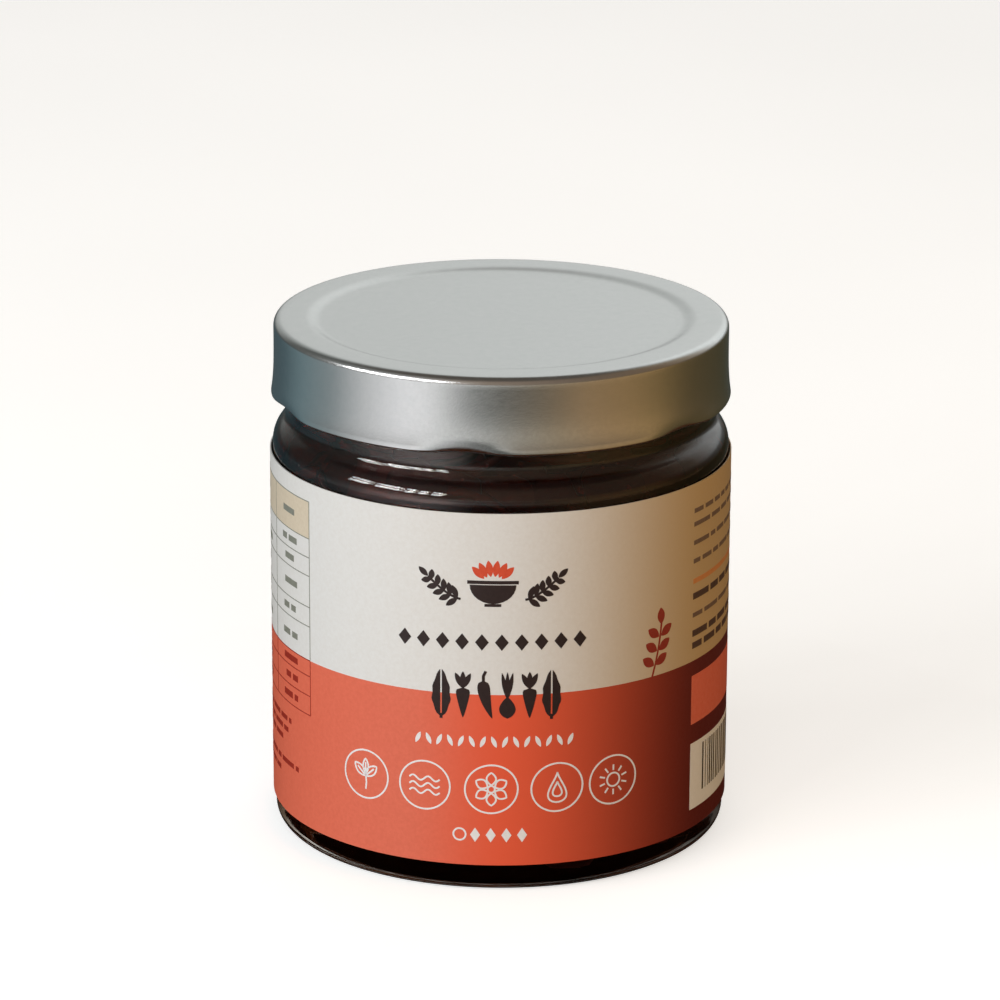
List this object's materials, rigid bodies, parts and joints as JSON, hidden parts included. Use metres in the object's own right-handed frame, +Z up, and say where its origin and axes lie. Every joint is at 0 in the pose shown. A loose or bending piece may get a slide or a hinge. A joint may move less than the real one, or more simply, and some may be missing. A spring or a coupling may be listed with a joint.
{
  "type": "kimchi jar",
  "caption": "Shut round glass jar of kimchi with a flat metal twist lid and a two-colour wrap label.",
  "frame": {"origin": "on the jar's axis, on the plane that the jar stands on", "axes": "+Z up along the jar's axis, -Y towards the middle of the label's front, +X to the right of that view"},
  "size_m": [0.08, 0.0798, 0.0908],
  "materials": {
    "glass": "clear, glossy",
    "lid_metal": "satin silver lacquered tinplate",
    "label_paper": "matt coated paper, cream above and red below",
    "kimchi": "wet pickled cabbage and radish in dark red brine"
  },
  "bodies": {
    "root": {"glass_jar": "glass", "lid": "lid_metal", "label": "label_paper", "kimchi": "kimchi"}
  },
  "joints": []
}
